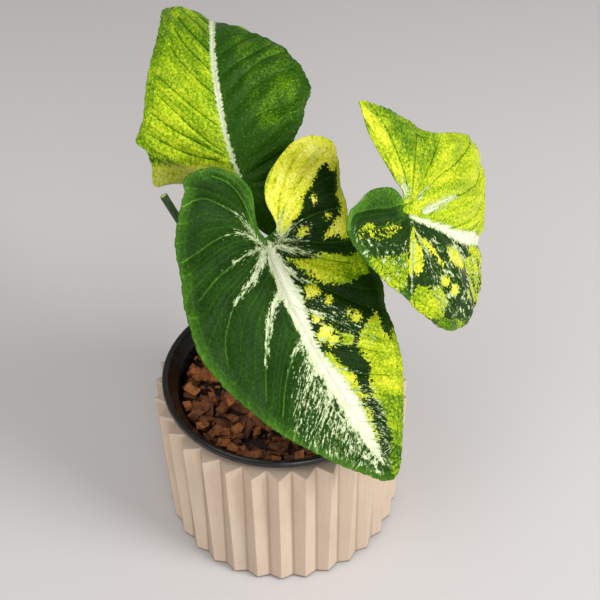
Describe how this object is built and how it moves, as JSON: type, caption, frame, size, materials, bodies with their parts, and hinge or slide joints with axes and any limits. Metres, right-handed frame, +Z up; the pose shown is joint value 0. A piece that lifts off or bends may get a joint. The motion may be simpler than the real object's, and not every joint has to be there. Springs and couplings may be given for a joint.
{
  "type": "potted syngonium",
  "caption": "Variegated arrow-leaf syngonium growing in chunky bark in a black nursery pot, standing inside a pleated sand planter.",
  "frame": {"origin": "centre of the planter's flat underside", "axes": "+Z up; -Y is the front that the picture looks at, +X to its right"},
  "size_m": [0.1913, 0.2066, 0.2896],
  "materials": {
    "planter": "matte",
    "nursery_pot": "satin",
    "potting_bark": "rough",
    "stem": "satin",
    "leaf_front": "satin",
    "leaf_left": "satin",
    "leaf_right": "satin",
    "cut_petiole": "satin"
  },
  "bodies": {
    "root": {"planter": "planter", "nursery_pot": "nursery_pot", "potting_bark": "potting_bark", "stem": "stem", "leaf_front": "leaf_front", "leaf_left": "leaf_left", "leaf_right": "leaf_right", "cut_petiole": "cut_petiole"}
  },
  "joints": []
}
